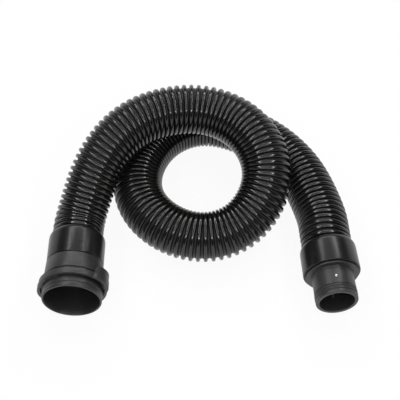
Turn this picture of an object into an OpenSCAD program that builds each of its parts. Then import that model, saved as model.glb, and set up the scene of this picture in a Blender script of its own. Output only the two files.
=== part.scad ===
// Stretch vacuum hose with a swivel coupling and lock ring on the machine end and a swivel
// spigot with a snap button on the tool end. The hose lies in one loose loop that crosses itself.
// +Z is up, z = 0 is the floor, and the origin is midway between the two end fittings.

/* [Hose] */
// Outside diameter of the hose over its ribs
hose_od = 46; // [44:0.5:47]
// Bore of the hose
hose_bore = 38; // [34:0.5:40]
// Depth of the hose in each cuff
hose_grip = 13; // [10:0.5:18]
// Radial clearance of the hose in a cuff
hose_fit = 0.2; // [0.1:0.05:0.4]

/* [Placing] */
// Distance of the machine end's axis from the origin, to the left
machine_x = 111.5; // [105:0.5:118]
// Where the hose enters the machine cuff, in Y
machine_y = 32.2; // [28:0.1:36]
// Distance of the point where the hose enters the tool cuff, to the right
tool_x = 114.2; // [110:0.1:120]
// Where the hose enters the tool cuff, in Y
tool_y = 31; // [27:0.1:35]
// Angle by which the tool end turns outward
tool_yaw = 7.4; // [0:0.1:10]

/* [Swivel cuffs] */
// Length of the machine cuff
machine_cuff_len = 28.7; // [23:0.1:34]
// Length of the tool cuff
tool_cuff_len = 27.6; // [23:0.1:34]
// Wall of a cuff round the hose
cuff_wall = 2.3; // [1.8:0.1:3]
// Wall of a cuff round its swivel chamber
chamber_wall = 2; // [1.4:0.1:2.5]
// Thickness of a cuff's lip where the hose enters
cuff_lip = 0.6; // [0.4:0.1:1]
// Length of the taper behind that lip
cuff_taper = 4.5; // [2:0.5:8]
// Radius of a cuff's front edge
cuff_fillet = 1.2; // [0.4:0.1:1.6]
// How much wider the tool cuff is at its front, on the radius
tool_cuff_flare = 0.4; // [0:0.1:1]
// Web between the hose and the swivel chamber
web_t = 1.5; // [1:0.1:2.5]
// Radial clearance of a swivel flange in its chamber
swivel_fit = 0.3; // [0.2:0.05:0.5]
// End play of a swivel flange
swivel_play = 0.2; // [0.1:0.05:0.3]
// Gap between a cuff and the fitting that turns in front of it
swivel_gap = 0.8; // [0.4:0.1:0.9]

/* [Swivel tails] */
// Thickness of a swivel flange
flange_t = 2; // [1.4:0.1:3]
// How far a swivel flange stands out from its tail
flange_step = 1.4; // [1:0.1:2]
// Wall of a swivel tail
tail_wall = 1.8; // [1.4:0.1:2.4]
// Thickness of a swivel seal
seal_t = 1; // [0.6:0.1:1.6]
// Width of a split clip along the axis
clip_t = 1.5; // [1:0.1:1.8]
// Depth of the clip's groove in the cuff
clip_groove = 0.9; // [0.5:0.1:1.1]
// Clearance of the clip over the tail and in its groove
clip_fit = 0.1; // [0.05:0.05:0.2]
// Opening of the split clip, in degrees
clip_split = 30; // [15:5:60]

/* [Hose bushings] */
// Length of a bushing inside the hose
bush_len = 12; // [8:0.5:14]
// Wall of a bushing
bush_wall = 1.4; // [1:0.1:2]
// Thickness of a bushing's flange on the end of the hose
bush_flange = 1.2; // [0.8:0.1:2]
// Radial clearance of a bushing in the hose
bush_fit = 0.1; // [0.05:0.05:0.3]

/* [Machine coupling] */
// How much wider the machine socket is than the swivel's bore, on the radius
socket_step = 4.1; // [3.2:0.1:6]
// Depth of the socket from the mouth to its floor
socket_depth = 30; // [24:0.5:31]
// Length of the tapered collar
collar_len = 15.7; // [13:0.1:20]
// How much wider the collar is at its front, on the radius
collar_flare = 0.9; // [0:0.1:1.2]
// Wall of the collar's rear skirt
skirt_wall = 2.2; // [1.6:0.1:2.4]
// Web between the socket's floor and the hollow behind it
socket_web = 2.5; // [1.5:0.1:4]
// How far the collar stands out from the neck
collar_step = 1.2; // [0.5:0.1:1.5]
// Length of the neck between the collar and the bead
neck_len = 2.6; // [1.5:0.1:3.6]
// Wall of the neck
neck_wall = 1.3; // [1.1:0.1:2]
// Width of the bead behind the lock ring
bead_w = 0.7; // [0.5:0.1:1.2]
// Height of the bead over the ring's seat
bead_h = 0.35; // [0.2:0.05:0.5]
// How far the ring's seat stands out from the neck
seat_step = 0.45; // [0.2:0.05:0.8]
// How far the front bands stand out from the ring's seat
band_step = 0.75; // [0.4:0.05:1]
// Width of the rear band
rear_band_w = 5.3; // [3:0.1:7]
// Width of the groove between the bands
band_groove_w = 0.5; // [0.3:0.1:1]
// Depth of that groove
band_groove_h = 0.5; // [0.3:0.1:0.8]
// Width of the front band
front_band_w = 3.6; // [2:0.1:5]
// Length of the rim in front of the bands
rim_len = 0.7; // [0.4:0.1:1.5]
// How far the rim is set in from the bands
rim_step = 0.4; // [0.3:0.1:1]
// Length of the lead-in inside the socket's mouth
lead_len = 4; // [2:0.5:6]
// How much wider the lead-in is at the mouth, on the radius
lead_step = 0.9; // [0.5:0.1:1.2]
// Thickness of the socket's seal
socket_seal_t = 2; // [1:0.1:3]
// How deep the seal's pocket undercuts the socket's wall
pocket_depth = 0.4; // [0.3:0.05:0.6]
// Radial clearance of the socket's seal
seal_fit = 0.1; // [0.05:0.05:0.2]

/* [Lock ring] */
// Wall of the lock ring
ring_wall = 4.4; // [3.6:0.1:6]
// Width of the lock ring along the axis
ring_w = 6; // [5:0.1:9]
// Radial running clearance of the ring on its seat
ring_fit = 0.1; // [0.05:0.05:0.15]
// End play of the ring on its seat
ring_play = 0.3; // [0.1:0.05:0.4]
// Chamfer on the ring's outer edges
ring_chamfer = 0.5; // [0.2:0.1:1]
// Wall between a lobe's curve and the pocket inside it
pocket_wall = 3.6; // [2.8:0.1:4.4]
// Radius of a pocket's curve
pocket_curve = 22.5; // [21:0.5:24]
// Depth of a pocket from the ring's front
ring_pocket_depth = 3.4; // [1:0.1:4]
// Number of teeth in the pocket beside the tab
teeth = 6; // [3:1:8]
// Angle between two teeth
tooth_pitch = 10.5; // [7:0.5:12]
// Angle of the first tooth, from the middle of the tab
tooth_start = -48; // [-52:1:-36]
// Width of a tooth
tooth_w = 2.2; // [1.2:0.1:2.6]
// Height of a tooth across the pocket
tooth_h = 1; // [0.5:0.1:1.4]
// How far a tooth stays behind the ring's face
tooth_drop = 0.4; // [0.2:0.1:0.8]
// How far the thumb tab stands out from the ring
tab_proud = 2.7; // [1:0.1:4]
// Radius of the thumb tab's curve
tab_r = 18.6; // [16:0.1:22]
// Angle of the thumb tab, from the right
tab_angle = 21; // [0:1:26]
// Half the angle that the tab's rear part spans
tab_half = 20; // [12:1:21]
// How far the tab reaches back over the collar
tab_back = 7.5; // [2:0.1:9]
// How far the tab's rear part is set in from the tab
tab_step = 0.4; // [0.2:0.1:1]
// Clearance of the tab over the collar
tab_clear = 0.6; // [0.4:0.1:1]

/* [Tool spigot] */
// Length from the tool cuff's flange disc to the mouth
spigot_len = 27; // [24:0.1:34]
// Outside diameter of the spigot at its bead
spigot_d = 38.1; // [37.6:0.1:40]
// Wall of the spigot under the seal's groove
groove_wall = 1.2; // [1:0.1:2]
// How far the disc in front of the tool cuff is set in from the cuff, on the radius
disc_inset = 2; // [1.6:0.1:4]
// Thickness of that disc
disc_t = 1.8; // [1.2:0.1:3]
// Chamfer on the disc's front edge
disc_chamfer = 0.4; // [0.2:0.1:0.8]
// How far the root band stands out over the spigot
root_step = 0.35; // [0:0.05:1]
// Length of the root band
root_len = 2.4; // [1:0.1:4]
// How much narrower the neck is at the root band, on the radius
neck_draft = 0.3; // [0:0.05:0.5]
// Length of the end bead
end_bead_len = 3; // [2.6:0.1:5]
// Radius of the end bead's outer edge
bead_fillet = 1.2; // [0.6:0.1:1.6]
// Radius of the end bead's inner edge
lip_fillet = 0.8; // [0.4:0.1:1]
// Width of the seal's groove
groove_w = 6.4; // [4:0.1:7.4]
// Depth of the seal's groove
groove_depth = 2.15; // [1.4:0.05:2.2]
// Chamfer of the neck's edge at the groove
groove_edge = 0.3; // [0.1:0.1:0.6]
// How far the seal's ribs stand over the bead
rib_proud = 0.2; // [0:0.05:0.5]
// Radius of a rib's curve
rib_r = 1.1; // [0.7:0.1:1.2]
// How far the seal's band stays below the bead
band_drop = 0.5; // [0.2:0.05:0.9]
// Clearance of the seal on the groove's floor and sides
groove_fit = 0.05; // [0.02:0.01:0.1]
// Length of the funnel inside the spigot
funnel_len = 10; // [6:0.5:14]

/* [Snap button] */
// Distance of the button from the spigot's mouth
button_s = 15.9; // [13:0.1:18]
// Diameter of the button
button_d = 3; // [2.2:0.1:4]
// How far the button stands out from the neck
button_proud = 1.8; // [1:0.1:2.4]
// Travel of the button
button_travel = 1.6; // [0.8:0.1:2]
// Clearance of the button in its hole
button_fit = 0.08; // [0.03:0.01:0.1]
// Diameter of the button's foot
foot_d = 4.4; // [4.2:0.1:6]
// Thickness of the button's foot
foot_t = 0.8; // [0.5:0.1:1.5]
// Clearance between the foot and the spigot's bore
foot_gap = 0.1; // [0.05:0.05:0.3]
// Width of the spring strip
spring_w = 1.5; // [1:0.1:2.5]
// Thickness of the spring strip
spring_t = 0.5; // [0.3:0.05:0.8]
// Length of each foot of the spring
spring_foot = 8; // [6:0.5:10]
// How far the spring's feet reach toward the mouth past the button
spring_tip = 2; // [1.6:0.1:4]
// Length of the spring's sloping arms, along the axis
spring_arm = 14; // [10:0.5:15]
// Radius of the spring's bend
spring_bend = 3; // [2:0.1:4]
// Clearance of the spring on the spigot's bore
spring_gap = 0.1; // [0.05:0.05:0.3]

/* [Hidden] */
$fn = 96;
small_fn = 40;
// How far a cut runs past a face
past = 1;

// Radii shared by both swivel cuffs
hose_r = hose_od / 2;
bore_r = hose_bore / 2;
grip_r = hose_r + hose_fit;
cuff_r = grip_r + cuff_wall;
chamber_r = cuff_r - chamber_wall;
flange_r = chamber_r - swivel_fit;
tail_r = flange_r - flange_step;
flow_r = tail_r - tail_wall;
clip_groove_r = chamber_r + clip_groove;

// Stations along a fitting's axis, from the point where the hose enters
web_z = hose_grip + bush_flange;
chamber_z = web_z + web_t;
tail_z = chamber_z + seal_t + swivel_play;
flange_z = tail_z + flange_t;
clip_z = flange_z + swivel_play;
clip_end_z = clip_z + clip_t + clip_fit;

// Machine coupling
socket_r = flow_r + socket_step;
neck_r = socket_r + neck_wall;
seat_r = neck_r + seat_step;
band_r = seat_r + band_step;
rim_r = band_r - rim_step;
collar_front_r = neck_r + collar_step;
collar_rear_r = collar_front_r - collar_flare;
skirt_r = collar_rear_r - skirt_wall;
collar_z = machine_cuff_len + swivel_gap;
collar_end_z = collar_z + collar_len;
bead_z = collar_end_z + neck_len;
seat_z = bead_z + bead_w;
band_z = seat_z + ring_w + 2 * ring_play;
band_groove_z = band_z + rear_band_w;
front_band_z = band_groove_z + band_groove_w;
rim_z = front_band_z + front_band_w;
machine_len = rim_z + rim_len;
socket_z = machine_len - socket_depth;
pocket_r = socket_r + pocket_depth;
pocket_z = socket_z + socket_seal_t;

// Lock ring
ring_bore_r = seat_r + ring_fit;
ring_z = seat_z + ring_play;
ring_r = ring_bore_r + ring_wall;
tab_reach = ring_r + tab_proud;
tab_centre = tab_reach - tab_r;
pocket_centre = tab_reach - pocket_wall - pocket_curve;

// Tool spigot
tool_cuff_r = cuff_r + tool_cuff_flare;
disc_r = tool_cuff_r - disc_inset;
disc_z = tool_cuff_len + swivel_gap / 2;
disc_end_z = disc_z + disc_t;
root_z = disc_end_z + root_len;
tool_len = disc_end_z + spigot_len;
spigot_r = spigot_d / 2;
bead_start_z = tool_len - end_bead_len;
groove_z = bead_start_z - groove_w;
groove_r = spigot_r - groove_depth;
spigot_bore_r = groove_r - groove_wall;
funnel_z = disc_z - funnel_len / 3;
button_z = tool_len - button_s;
foot_top = sqrt(pow(spigot_bore_r, 2) - pow(foot_d / 2, 2)) - foot_gap;
button_top = spigot_r + button_proud;
spring_top = foot_top - foot_t;
spring_low = -spigot_bore_r + spring_gap;

// Heights of the two fittings' axes: each fitting lies on the floor
machine_z = ring_r;
tool_z = tool_cuff_r;

// Where the hose enters each fitting, and the direction out of that fitting's mouth
machine_entry = [-machine_x, machine_y, machine_z];
machine_dir = [0, -1, 0];
tool_entry = [tool_x, tool_y, tool_z];
tool_dir = [sin(tool_yaw), -cos(tool_yaw), 0];

// The hose's route: x, y and the height of its underside over the floor
ROUTE = [
    [-107, 65, 15], [-100, 89, 29], [-87, 112, 41], [-68, 133, 47], [-43, 148, 47],
    [-15, 156, 45], [12, 154, 43], [37, 140, 41], [54, 118, 37], [61, 92, 28],
    [53, 67, 16], [35, 49, 5], [9, 40, 0], [-19, 43, 0], [-44, 58, 1],
    [-60, 82, 0], [-63, 110, 0], [-55, 138, 0], [-38, 161, 0], [-13, 174, 1],
    [15, 174, 1], [42, 164, 0], [66, 148, 0], [85, 127, 0], [97, 105, 1],
    [105, 83, 1], [111, 64, 1]
];
// Spacing of the straight points at each end, which keep the hose true in its cuff
end_step = 15;
route = concat(
    [for (k = [1:-1:-2]) machine_entry + (hose_grip + k * end_step) * machine_dir],
    [for (p = ROUTE) p + [0, 0, hose_r]],
    [for (k = [-2:1]) tool_entry + (hose_grip + k * end_step) * tool_dir]
);
hose_rings = 76;
hose_sides = 12;

// Points of an arc round c, from angle a0 to a1
function arc(c, r, a0, a1, n = 6) =
    [for (i = [0:n]) let (a = a0 + (a1 - a0) * i / n) c + r * [cos(a), sin(a)]];

// Cubic B-spline through a list of points: place and direction at u, one step a point
function spline(p, u) =
    let (i = min(floor(u), len(p) - 4), f = u - i, g = 1 - f)
    (pow(g, 3) * p[i] + (3 * pow(f, 3) - 6 * f * f + 4) * p[i + 1]
        + (-3 * pow(f, 3) + 3 * f * f + 3 * f + 1) * p[i + 2] + pow(f, 3) * p[i + 3]) / 6;
function spline_dir(p, u) =
    let (i = min(floor(u), len(p) - 4), f = u - i, g = 1 - f,
        d = -g * g * p[i] + (3 * f * f - 4 * f) * p[i + 1]
            + (-3 * f * f + 2 * f + 1) * p[i + 2] + f * f * p[i + 3])
    d / norm(d);

// One ring of the hose: points at radius r in the plane across the route, from the bottom round
function ring(c, t, r) =
    let (side = cross(t, [0, 0, 1]) / norm(cross(t, [0, 0, 1])), up = cross(side, t))
    [for (k = [0:hose_sides - 1]) let (a = 360 * k / hose_sides - 90)
        c + r * (cos(a) * side + sin(a) * up)];

// Faces between rings a and b of a swept tube
function skin(a, b, n) =
    [for (k = [0:n - 1]) each [
        [a + k, b + k, b + (k + 1) % n],
        [a + k, b + (k + 1) % n, a + (k + 1) % n]
    ]];

module on_machine() {
    translate(machine_entry) rotate([90, 0, 0]) children();
}

module on_tool() {
    translate(tool_entry) rotate([0, 0, tool_yaw]) rotate([90, 0, 0]) children();
}

// The hose: a tube swept along the route. Its bore's flats lie at the bore's radius
module hose() {
    n = hose_sides;
    last = len(route) - 3;
    us = [for (i = [0:hose_rings - 1]) last * i / (hose_rings - 1)];
    outer = [for (u = us) each ring(spline(route, u), spline_dir(route, u), hose_r)];
    inner = [for (u = us)
        each ring(spline(route, u), spline_dir(route, u), bore_r / cos(180 / n))];
    o = len(outer);
    end = (hose_rings - 1) * n;
    color([0.16, 0.16, 0.15])
    polyhedron(
        points = concat(outer, inner),
        faces = concat(
            [for (i = [0:hose_rings - 2]) each skin(i * n, (i + 1) * n, n)],
            [for (i = [0:hose_rings - 2]) each skin(o + (i + 1) * n, o + i * n, n)],
            skin(o, 0, n),
            skin(end, o + end, n)
        )
    );
}

// A cuff: grips the hose at the rear and holds the swivel in the chamber at the front
module swivel_cuff(len, front_r) {
    rotate_extrude()
    polygon(concat(
        [[grip_r, 0], [grip_r + cuff_lip, 0], [cuff_r, cuff_taper]],
        arc([front_r - cuff_fillet, len - cuff_fillet], cuff_fillet, 0, 90),
        [
            [chamber_r, len], [chamber_r, clip_end_z], [clip_groove_r, clip_end_z],
            [clip_groove_r, clip_z], [chamber_r, clip_z], [chamber_r, chamber_z],
            [flow_r, chamber_z], [flow_r, web_z], [grip_r, web_z]
        ]
    ));
}

// A bushing: keeps the end of the hose round, with a flange between the hose and the web
module hose_bushing() {
    out_r = bore_r - bush_fit;
    in_r = out_r - bush_wall;
    rotate_extrude()
    polygon([
        [out_r - bush_wall / 2, hose_grip - bush_len], [out_r, hose_grip - bush_len + bush_wall],
        [out_r, hose_grip], [grip_r - hose_fit, hose_grip], [grip_r - hose_fit, web_z],
        [in_r, web_z], [in_r, hose_grip - bush_len + bush_wall]
    ]);
}

// A flat ring between two stations
module washer(in_r, out_r, z0, z1) {
    rotate_extrude()
    translate([in_r, z0]) square([out_r - in_r, z1 - z0]);
}

// A split clip: sits in the cuff's groove and holds the swivel flange in
module swivel_clip() {
    rotate([0, 0, clip_split / 2 - 90])
    rotate_extrude(angle = 360 - clip_split)
    translate([tail_r + 4 * clip_fit, clip_z + clip_fit / 2])
    square([clip_groove_r - clip_fit - tail_r - 4 * clip_fit, clip_t]);
}

// The rear of a fitting that turns in a cuff: half profile from the flow bore out and forward
function tail(front_z) = [
    [flow_r, tail_z], [flange_r, tail_z], [flange_r, flange_z], [tail_r, flange_z],
    [tail_r, front_z]
];

module machine_cuff() {
    color([0.2, 0.2, 0.2])
    on_machine() swivel_cuff(machine_cuff_len, cuff_r);
}

module machine_hose_bushing() {
    color([0.3, 0.3, 0.3])
    on_machine() hose_bushing();
}

module machine_swivel_seal() {
    color([0.1, 0.1, 0.1])
    on_machine() washer(flow_r + seal_fit * 6, chamber_r - seal_fit * 2, chamber_z, chamber_z + seal_t);
}

module machine_swivel_clip() {
    color([0.7, 0.7, 0.72])
    on_machine() swivel_clip();
}

// The coupling that pushes onto the machine: tail, tapered collar, ring seat and front bands
module machine_coupling() {
    edge = collar_step / 2;
    color([0.32, 0.32, 0.33])
    on_machine()
    rotate_extrude()
    polygon(concat(
        tail(socket_z - socket_web),
        [
            [skirt_r, socket_z - socket_web], [skirt_r, collar_z], [collar_rear_r, collar_z],
            [collar_front_r, collar_end_z - edge], [collar_front_r - edge, collar_end_z],
            [neck_r, collar_end_z], [neck_r, bead_z], [seat_r + bead_h, bead_z],
            [seat_r + bead_h, seat_z], [seat_r, seat_z], [seat_r, band_z],
            [band_r, band_z], [band_r, band_groove_z],
            [band_r - band_groove_h, band_groove_z], [band_r - band_groove_h, front_band_z],
            [band_r, front_band_z], [band_r, rim_z], [rim_r, machine_len],
            [socket_r + lead_step, machine_len], [socket_r, machine_len - lead_len],
            [socket_r, pocket_z],
            [pocket_r, pocket_z], [pocket_r, socket_z], [flow_r, socket_z]
        ]
    ));
}

module socket_seal() {
    color([0.1, 0.1, 0.1])
    on_machine() washer(flow_r + seal_fit * 6, pocket_r - seal_fit, socket_z, pocket_z);
}

// The lock ring: turns on its seat. Two lobes opposite each other stand out from it, one with the
// thumb tab, and each has a pocket behind it. The pocket beside the tab is toothed
module lock_ring() {
    floor_z = ring_z + ring_w - ring_pocket_depth;
    color([0.3, 0.3, 0.31])
    on_machine()
    rotate([0, 0, tab_angle])
    difference() {
        union() {
            rotate_extrude()
            polygon([
                [ring_bore_r - past, ring_z], [ring_r - ring_chamfer, ring_z],
                [ring_r, ring_z + ring_chamfer], [ring_r, ring_z + ring_w - ring_chamfer],
                [ring_r - ring_chamfer, ring_z + ring_w], [ring_bore_r - past, ring_z + ring_w]
            ]);
            for (a = [0, 180]) rotate([0, 0, a]) translate([tab_centre, 0, ring_z])
                cylinder(r = tab_r, h = ring_w);
            tab_rear();
        }
        translate([0, 0, ring_z - past]) cylinder(r = ring_bore_r, h = ring_w + 2 * past);
        translate([0, 0, ring_z - tab_back - past])
            cylinder(r = collar_front_r + tab_clear, h = tab_back + past);
        difference() {
            for (a = [0, 180]) rotate([0, 0, a]) translate([pocket_centre, 0, floor_z])
                cylinder(r = pocket_curve, h = ring_pocket_depth + past);
            translate([pocket_centre, 0, floor_z - past])
            for (i = [0:teeth - 1]) rotate([0, 0, tooth_start + i * tooth_pitch])
                translate([pocket_curve - tooth_h, -tooth_w / 2, 0])
                cube([tooth_h + 2 * past, tooth_w, ring_pocket_depth + past - tooth_drop]);
        }
    }
}

// The part of the thumb tab that reaches back over the collar, to the right before it is turned
module tab_rear() {
    far = 2 * ring_r;
    translate([0, 0, ring_z - tab_back])
    linear_extrude(tab_back + ring_w / 2)
    intersection() {
        translate([tab_centre, 0]) circle(tab_r - tab_step);
        polygon([[0, 0], far * [cos(tab_half), -sin(tab_half)], far * [cos(tab_half), sin(tab_half)]]);
    }
}

module tool_cuff() {
    color([0.2, 0.2, 0.2])
    on_tool() swivel_cuff(tool_cuff_len, tool_cuff_r);
}

module tool_hose_bushing() {
    color([0.3, 0.3, 0.3])
    on_tool() hose_bushing();
}

module tool_swivel_seal() {
    color([0.1, 0.1, 0.1])
    on_tool() washer(flow_r + seal_fit * 6, chamber_r - seal_fit * 2, chamber_z, chamber_z + seal_t);
}

module tool_swivel_clip() {
    color([0.7, 0.7, 0.72])
    on_tool() swivel_clip();
}

// The spigot that takes a tool: tail, disc, neck with the button's hole, seal groove and bead
module tool_spigot() {
    color([0.26, 0.26, 0.26])
    on_tool()
    difference() {
        rotate_extrude()
        polygon(concat(
            tail(disc_z),
            [
                [disc_r, disc_z], [disc_r, disc_end_z - disc_chamfer],
                [disc_r - disc_chamfer, disc_end_z], [spigot_r + root_step, disc_end_z],
                [spigot_r + root_step, root_z], [spigot_r - neck_draft, root_z],
                [spigot_r, groove_z - groove_edge], [spigot_r - groove_edge, groove_z],
                [groove_r, groove_z], [groove_r, bead_start_z],
                [spigot_r - groove_edge, bead_start_z], [spigot_r, bead_start_z + groove_edge]
            ],
            arc([spigot_r - bead_fillet, tool_len - bead_fillet], bead_fillet, 0, 90),
            arc([spigot_bore_r + lip_fillet, tool_len - lip_fillet], lip_fillet, 90, 180, 4),
            [[spigot_bore_r, funnel_z + funnel_len], [flow_r, funnel_z]]
        ));
        translate([0, 0, button_z]) rotate([-90, 0, 0])
            cylinder(d = button_d + 2 * button_fit, h = spigot_r + past, $fn = small_fn);
    }
}

// The rubber seal in the spigot's groove: a band with two round ribs
module spigot_seal() {
    z0 = groove_z + groove_fit;
    z1 = bead_start_z - groove_fit;
    band = spigot_r - band_drop;
    rib_c = spigot_r + rib_proud - rib_r;
    reach = acos((band - rib_c) / rib_r);
    color([0.12, 0.12, 0.1])
    on_tool()
    rotate_extrude()
    polygon(concat(
        [[groove_r + groove_fit, z0], [band, z0]],
        arc([rib_c, z0 + (z1 - z0) * 0.27], rib_r, -reach, reach),
        arc([rib_c, z0 + (z1 - z0) * 0.73], rib_r, -reach, reach),
        [[band, z1], [groove_r + groove_fit, z1]]
    ));
}

// The snap button: a domed pin through the neck, with a foot inside the bore
module detent_button() {
    r = button_d / 2;
    color([0.75, 0.75, 0.75])
    on_tool()
    translate([0, 0, button_z]) rotate([-90, 0, 0])
    rotate_extrude($fn = small_fn)
    polygon(concat(
        [
            [0, foot_top - foot_t], [foot_d / 2, foot_top - foot_t], [foot_d / 2, foot_top],
            [r, foot_top]
        ],
        arc([0, button_top - r], r, 0, 90)
    ));
}

// The snap button's spring: a bent strip whose upper foot carries the button
module detent_spring() {
    tip_z = button_z + spring_tip;
    foot_z = tip_z - spring_foot;
    arm_z = foot_z - spring_arm;
    mid = (spring_top + spring_low) / 2;
    t = spring_t;
    color([0.8, 0.8, 0.82])
    on_tool()
    rotate([0, -90, 0])
    translate([0, 0, -spring_w / 2])
    linear_extrude(spring_w)
    polygon(concat(
        [[tip_z, spring_top], [foot_z, spring_top]],
        arc([arm_z, mid], spring_bend, 90, 270, 12),
        [
            [foot_z, spring_low], [tip_z, spring_low], [tip_z, spring_low + t],
            [foot_z, spring_low + t]
        ],
        arc([arm_z, mid], spring_bend - t, 270, 90, 12),
        [[foot_z, spring_top - t], [tip_z, spring_top - t]]
    ));
}

hose();
machine_cuff();
machine_hose_bushing();
machine_swivel_seal();
machine_swivel_clip();
machine_coupling();
socket_seal();
lock_ring();
tool_cuff();
tool_hose_bushing();
tool_swivel_seal();
tool_swivel_clip();
tool_spigot();
spigot_seal();
detent_button();
detent_spring();
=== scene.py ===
# %% [markdown]
# # A vacuum hose with two swivel fittings
#
# The object is one ribbed hose, laid in a loop on the floor. Its left end carries a cuff and a
# wide coupling that pushes onto the machine, with a lock ring that turns on it. Its right end
# carries a second cuff and a narrow spigot with a snap button, which takes a tool. The
# construction is already drawn in CAD, so this script loads it as a fixed frame and dresses it:
# each cell explains one piece or one finish, and then makes it.

# %% Load the frame
import math
from bisect import bisect_right

import bpy
import bmesh
from mathutils import Matrix, Vector


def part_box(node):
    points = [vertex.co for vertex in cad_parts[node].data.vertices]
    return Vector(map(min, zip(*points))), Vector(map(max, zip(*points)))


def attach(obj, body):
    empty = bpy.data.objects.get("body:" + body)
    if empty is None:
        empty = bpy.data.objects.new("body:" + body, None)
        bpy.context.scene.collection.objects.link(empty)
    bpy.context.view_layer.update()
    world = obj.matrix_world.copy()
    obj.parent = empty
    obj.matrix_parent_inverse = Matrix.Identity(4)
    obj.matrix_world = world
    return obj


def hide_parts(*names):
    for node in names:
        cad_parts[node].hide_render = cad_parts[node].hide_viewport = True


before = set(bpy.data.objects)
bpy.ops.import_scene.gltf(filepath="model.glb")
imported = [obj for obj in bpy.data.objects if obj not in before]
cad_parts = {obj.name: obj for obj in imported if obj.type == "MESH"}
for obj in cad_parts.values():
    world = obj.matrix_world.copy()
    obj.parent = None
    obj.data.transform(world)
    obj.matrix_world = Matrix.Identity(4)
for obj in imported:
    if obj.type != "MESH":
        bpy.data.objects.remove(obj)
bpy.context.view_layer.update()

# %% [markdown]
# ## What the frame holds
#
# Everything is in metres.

MM = 0.001

# %% [markdown]
# ## Camera
#
# The hose lies on the floor and is seen from the front and well above, at 55 degrees over the
# horizon, from far off. A long lens keeps the two fittings nearly the same size, as it would on a
# studio stand. `to_track_quat` turns the camera so that its own -Z axis, the way it looks, points
# at the aim.

# %% Place the camera
CAMERA_PLACE = Vector((0.0174, -0.6031, 1.0080))
CAMERA_AIM = Vector((-0.0023, 0.0826, 0.0234))
SENSOR_WIDTH = 36.0  # in mm, as the lens is
FOCAL_LENGTH = 116.2

lens = bpy.data.cameras.new("studio_camera")
lens.sensor_width = SENSOR_WIDTH
lens.lens = FOCAL_LENGTH
camera = bpy.data.objects.new("studio_camera", lens)
bpy.context.scene.collection.objects.link(camera)
camera.location = CAMERA_PLACE
camera.rotation_euler = (CAMERA_AIM - CAMERA_PLACE).to_track_quat("-Z", "Y").to_euler()
bpy.context.scene.camera = camera
print("camera distance in m:", round((CAMERA_AIM - CAMERA_PLACE).length, 3))

# %% [markdown]
# ## The line that the hose follows
#
# A hose has a length of its own, so it is drawn from its centreline. The line leaves the machine
# end, climbs over the far side of the loop, comes down inside it, goes once round on the floor
# under its own first turn, and runs out to the tool end. Each entry gives x, y and the height of
# the hose's underside. A cubic B-spline through these points has no corners: unlike a Bezier
# curve, it needs no handles, and its curvature changes smoothly, as a stiff hose's does.

# %% Points of the route
HOSE_RADIUS = 23.0 * MM
HOSE_GRIP = 13 * MM  # how far each end goes into its cuff
END_STEP = 15 * MM  # between the points that hold an end straight
TOOL_YAW = math.radians(7.4)
MACHINE_ENTRY = Vector((-0.1115, 0.0322, 0.03035))
TOOL_ENTRY = Vector((0.1142, 0.0310, 0.0259))
MACHINE_OUT = Vector((0, -1, 0))
TOOL_OUT = Vector((math.sin(TOOL_YAW), -math.cos(TOOL_YAW), 0))

ROUTE = [
    (-0.107, 0.065, 0.015), (-0.100, 0.089, 0.029), (-0.087, 0.112, 0.041),
    (-0.068, 0.133, 0.047), (-0.043, 0.148, 0.047), (-0.015, 0.156, 0.045),
    (0.012, 0.154, 0.043), (0.037, 0.140, 0.041), (0.054, 0.118, 0.037),
    (0.061, 0.092, 0.028), (0.053, 0.067, 0.016), (0.035, 0.049, 0.005),
    (0.009, 0.040, 0.0), (-0.019, 0.043, 0.0), (-0.044, 0.058, 0.001),
    (-0.060, 0.082, 0.0), (-0.063, 0.110, 0.0), (-0.055, 0.138, 0.0),
    (-0.038, 0.161, 0.0), (-0.013, 0.174, 0.001), (0.015, 0.174, 0.001),
    (0.042, 0.164, 0.0), (0.066, 0.148, 0.0), (0.085, 0.127, 0.0),
    (0.097, 0.105, 0.001), (0.105, 0.083, 0.001), (0.111, 0.064, 0.001),
]
control = [MACHINE_ENTRY + (HOSE_GRIP + k * END_STEP) * MACHINE_OUT for k in (1, 0, -1, -2)]
control += [Vector((x, y, HOSE_RADIUS + lift)) for x, y, lift in ROUTE]
control += [TOOL_ENTRY + (HOSE_GRIP + k * END_STEP) * TOOL_OUT for k in (-2, -1, 0, 1)]
print("control points:", len(control))

# %% [markdown]
# The ribs are placed by their distance along the hose, but a spline's own parameter doesn't
# advance evenly with it. So the line is sampled finely once, and a table of the distance travelled
# lets any later cell ask for the place, the heading and the bend at a distance in metres.

# %% Measure along the route
SAMPLES_PER_POINT = 40


def spline_at(u):
    """Place, heading and bend (how fast the heading turns, per metre) at parameter u."""
    i = min(int(u), len(control) - 4)
    f = u - i
    g = 1 - f
    p = control[i:i + 4]
    place = (g ** 3 * p[0] + (3 * f ** 3 - 6 * f * f + 4) * p[1]
             + (-3 * f ** 3 + 3 * f * f + 3 * f + 1) * p[2] + f ** 3 * p[3]) / 6
    speed = (-g * g * p[0] + (3 * f * f - 4 * f) * p[1]
             + (-3 * f * f + 2 * f + 1) * p[2] + f * f * p[3]) / 2
    pull = g * p[0] + (3 * f - 2) * p[1] + (1 - 3 * f) * p[2] + f * p[3]
    heading = speed.normalized()
    bend = (pull - pull.dot(heading) * heading) / speed.length_squared
    return place, heading, bend


spans = len(control) - 3
route_table = [spline_at(k / SAMPLES_PER_POINT) for k in range(spans * SAMPLES_PER_POINT + 1)]
travelled = [0.0]
for (a, _, _), (b, _, _) in zip(route_table, route_table[1:]):
    travelled.append(travelled[-1] + (b - a).length)
hose_length = travelled[-1]


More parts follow.
